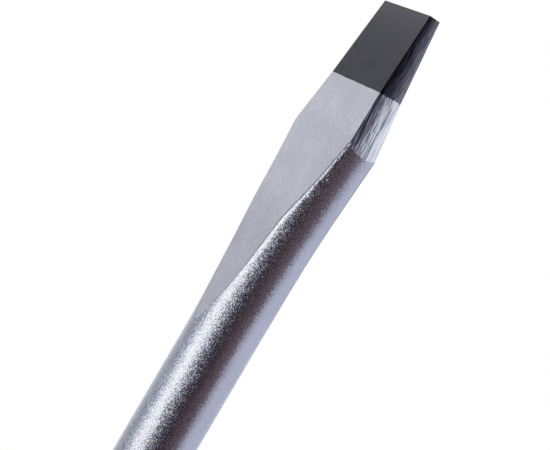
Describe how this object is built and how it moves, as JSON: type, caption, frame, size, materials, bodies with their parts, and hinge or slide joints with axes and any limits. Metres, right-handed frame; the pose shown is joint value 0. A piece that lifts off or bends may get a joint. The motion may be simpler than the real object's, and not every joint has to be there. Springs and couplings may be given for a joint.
{
  "type": "slotted screwdriver",
  "caption": "Heavy slotted screwdriver: flared, ground blade with a blackened tip on a round satin shank, hex bolster, two-material handle and steel strike cap.",
  "frame": {"origin": "centre of the strike cap's flat face, on which the tool stands", "axes": "+Z along the tool's axis from the strike cap to the blade's tip; the tip's two flats face -Y and +Y, and its width runs along X"},
  "size_m": [0.0354, 0.0344, 0.2934],
  "materials": {
    "satin_chrome": "fine-grained satin chrome on the shank and flare, ground flats with a fine lengthwise grain, matte black oxide on the last 9.7 mm of the tip",
    "bright_steel": "turned and lightly brushed steel",
    "hard_plastic": "red moulded plastic, fine satin texture",
    "soft_rubber": "black soft-touch elastomer, matte with cross ribs"
  },
  "bodies": {
    "root": {"blade": "satin_chrome", "hex_bolster": "bright_steel", "bolster_washer": "bright_steel", "handle_core": "hard_plastic", "finger_ring": "soft_rubber", "buffer_ring": "soft_rubber", "strike_cap": "bright_steel", "cap_pin": "bright_steel", "grip_pad_1": "soft_rubber", "grip_pad_2": "soft_rubber", "grip_pad_3": "soft_rubber", "grip_pad_4": "soft_rubber", "grip_pad_5": "soft_rubber", "grip_pad_6": "soft_rubber"}
  },
  "joints": []
}
